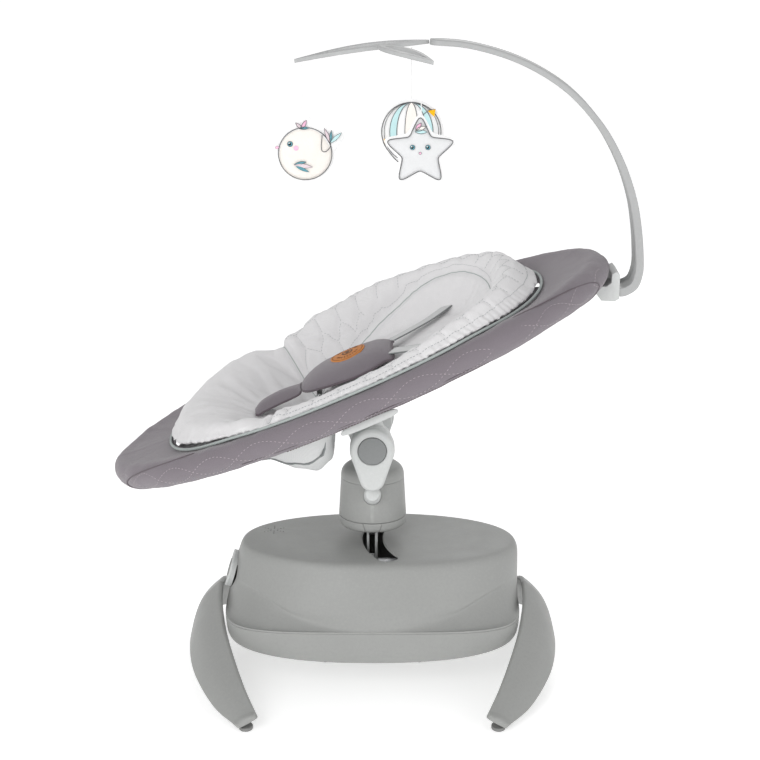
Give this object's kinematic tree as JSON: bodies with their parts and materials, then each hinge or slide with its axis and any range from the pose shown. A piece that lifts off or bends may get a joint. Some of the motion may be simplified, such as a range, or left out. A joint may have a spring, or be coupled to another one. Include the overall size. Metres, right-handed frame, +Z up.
{
  "type": "baby swing",
  "caption": "Electric baby swing: reclining oval padded seat on a swivelling drum, moved by an arm in an arc slot of a floor base with arched legs, under a toy arch.",
  "frame": {"origin": "on the floor, at the middle of the whole object's outline seen from above, under the drum", "axes": "+X towards the seat's head end, +Y to the far side, +Z up from the floor"},
  "size_m": [0.7605, 0.492, 0.9311],
  "materials": {
    "base_grey": "satin grey moulded plastic",
    "hub_grey": "light grey satin moulded plastic",
    "button_grey": "mid grey satin plastic",
    "dark_plastic": "near black plastic",
    "rubber": "dark grey rubber",
    "steel": "plain steel",
    "brass": "turned brass",
    "gear_plastic": "natural acetal",
    "board": "green circuit board",
    "mauve_fabric": "mauve grey woven fabric",
    "pad_fabric": "light grey padded jersey",
    "tan_leather": "tan leather patch",
    "toy_fabric": "cream printed fabric",
    "star_fabric": "pale grey printed fabric",
    "string": "pale thin cord"
  },
  "bodies": {
    "base": {"base_upper_shell": "base_grey", "base_lower_shell": "base_grey", "leg_foot_end": "base_grey", "leg_head_end": "base_grey", "foot_pad_1": "rubber", "foot_pad_2": "rubber", "foot_pad_3": "rubber", "foot_pad_4": "rubber", "control_panel": "button_grey", "circuit_board": "board", "speaker": "dark_plastic", "dc_inlet": "dark_plastic", "drive_motor": "steel", "gearbox": "dark_plastic", "pivot_post": "steel"},
    "dial": {"control_dial": "base_grey"},
    "power": {"power_button": "dark_plastic"},
    "pinion": {"motor_pinion": "brass"},
    "swing": {"swing_arm": "steel", "sector_gear": "gear_plastic", "swing_stem": "steel", "stem_crossbar": "dark_plastic", "turntable_ring": "base_grey", "swivel_spindle": "steel"},
    "lock_tab": {"swivel_lock_tab": "base_grey"},
    "swivel": {"drum_housing": "base_grey", "drum_cap": "base_grey", "seat_fork": "hub_grey", "fork_arm_near": "hub_grey", "fork_arm_far": "hub_grey"},
    "button_near": {"recline_button_near": "button_grey", "lock_gear_near": "steel"},
    "button_far": {"recline_button_far": "button_grey", "lock_gear_far": "steel"},
    "seat": {"seat_hub_near": "hub_grey", "seat_hub_far": "hub_grey", "seat_cross_tube": "steel", "seat_ring_tube": "steel", "seat_cover": "mauve_fabric", "seat_sling": "pad_fabric", "seat_pad": "pad_fabric", "crotch_strap": "mauve_fabric", "belly_pad": "mauve_fabric", "belly_badge": "tan_leather", "waist_strap_near": "pad_fabric", "waist_strap_far": "pad_fabric", "arch_socket": "hub_grey"},
    "arch_knob": {"arch_release_knob": "dark_plastic"},
    "arch": {"toy_arch": "base_grey", "leaf_loop_long": "base_grey", "leaf_loop_short": "base_grey"},
    "bird": {"toy_bird": "toy_fabric", "string_bird": "string"},
    "balloon": {"toy_balloon": "toy_fabric", "string_balloon": "string"},
    "star": {"toy_star": "star_fabric", "string_star": "string"}
  },
  "joints": [
    {"name": "swing_sweep", "type": "hinge", "parent": "base", "child": "swing", "pos_m": [0.172, 0, 0.15], "axis": [0, 0, 1], "range_deg": [-22, 22]},
    {"name": "pinion_spin", "type": "hinge", "parent": "base", "child": "pinion", "pos_m": [0.0842, 0, 0.145], "axis": [0, 0, 1], "range_deg": [-132, 132]},
    {"name": "dial_turn", "type": "hinge", "parent": "base", "child": "dial", "pos_m": [-0.2088, 0, 0.148], "axis": [-0.9613, 0, 0.2756], "continuous": true},
    {"name": "power_press", "type": "slide", "parent": "base", "child": "power", "axis": [0.9613, 0, -0.2756], "range_m": [0, 0.0012], "stiffness_N_per_m": 400, "springref_m": -0.0005},
    {"name": "lock_tab_press", "type": "slide", "parent": "swing", "child": "lock_tab", "axis": [0, 1, 0], "range_m": [0, 0.002]},
    {"name": "seat_swivel", "type": "hinge", "parent": "swing", "child": "swivel", "pos_m": [0, 0, 0.26], "axis": [0, 0, 1], "range_deg": [-90, 90]},
    {"name": "recline_button_near_press", "type": "slide", "parent": "swivel", "child": "button_near", "axis": [0, 1, 0], "range_m": [0, 0.004], "stiffness_N_per_m": 600, "springref_m": -0.001},
    {"name": "recline_button_far_press", "type": "slide", "parent": "swivel", "child": "button_far", "axis": [0, -1, 0], "range_m": [0, 0.004], "stiffness_N_per_m": 600, "springref_m": -0.001},
    {"name": "seat_recline", "type": "hinge", "parent": "swivel", "child": "seat", "pos_m": [0, 0, 0.362], "axis": [0, 1, 0], "range_deg": [0, 21]},
    {"name": "arch_knob_press", "type": "slide", "parent": "seat", "child": "arch_knob", "axis": [0.8, 0, 0.6], "range_m": [0, 0.003], "stiffness_N_per_m": 400, "springref_m": -0.001},
    {"name": "arch_plug", "type": "slide", "parent": "seat", "child": "arch", "axis": [1, 0, 0], "range_m": [0, 0.022]},
    {"name": "bird_sway", "type": "hinge", "parent": "arch", "child": "bird", "pos_m": [-0.0979, 0, 0.895], "axis": [0, 1, 0], "range_deg": [-15, 45]},
    {"name": "balloon_sway", "type": "hinge", "parent": "arch", "child": "balloon", "pos_m": [0.0548, 0, 0.919], "axis": [0, 1, 0], "range_deg": [-45, 12]},
    {"name": "star_sway", "type": "hinge", "parent": "arch", "child": "star", "pos_m": [0.0667, -0.088, 0.902], "axis": [0, 1, 0], "range_deg": [-50, 50]}
  ],
  "couplings": [
    {"joint": "pinion_spin", "follows": "swing_sweep", "ratio": -6}
  ]
}
